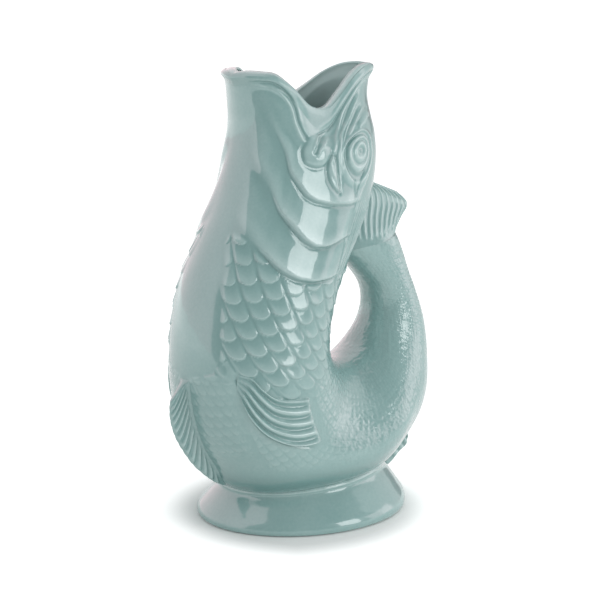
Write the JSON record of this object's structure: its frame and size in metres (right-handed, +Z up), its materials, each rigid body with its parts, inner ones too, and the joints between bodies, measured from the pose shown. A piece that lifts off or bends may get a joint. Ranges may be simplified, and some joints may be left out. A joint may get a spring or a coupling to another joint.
{
  "type": "gurgle jug",
  "caption": "Glazed earthenware jug shaped as an upright fish: open mouth with rolled lips, hollow belly, tail curled up as the handle, and an oval flared foot.",
  "frame": {"origin": "middle of the object's outline on the surface it stands on, in the mirror plane of the fish", "axes": "+Z up along the jug's height, its longest extent; +X from the pouring lip to the tail handle; +Y across the fish to its left, its shortest extent"},
  "size_m": [0.1698, 0.1014, 0.235],
  "materials": {
    "glazed_body": "gloss celadon glaze on earthenware",
    "glazed_relief": "gloss celadon glaze, thinner over the relief"
  },
  "bodies": {
    "root": {"head": "glazed_body", "trunk": "glazed_body", "tail_handle": "glazed_body", "tail_fin": "glazed_relief", "foot": "glazed_body", "front_fin": "glazed_relief", "rear_fin": "glazed_relief", "side_fin_left": "glazed_relief", "side_fin_right": "glazed_relief", "gill_plates_left": "glazed_relief", "gill_plates_right": "glazed_relief", "jaw_left": "glazed_relief", "jaw_right": "glazed_relief", "eye_left": "glazed_relief", "eye_right": "glazed_relief"}
  },
  "joints": []
}
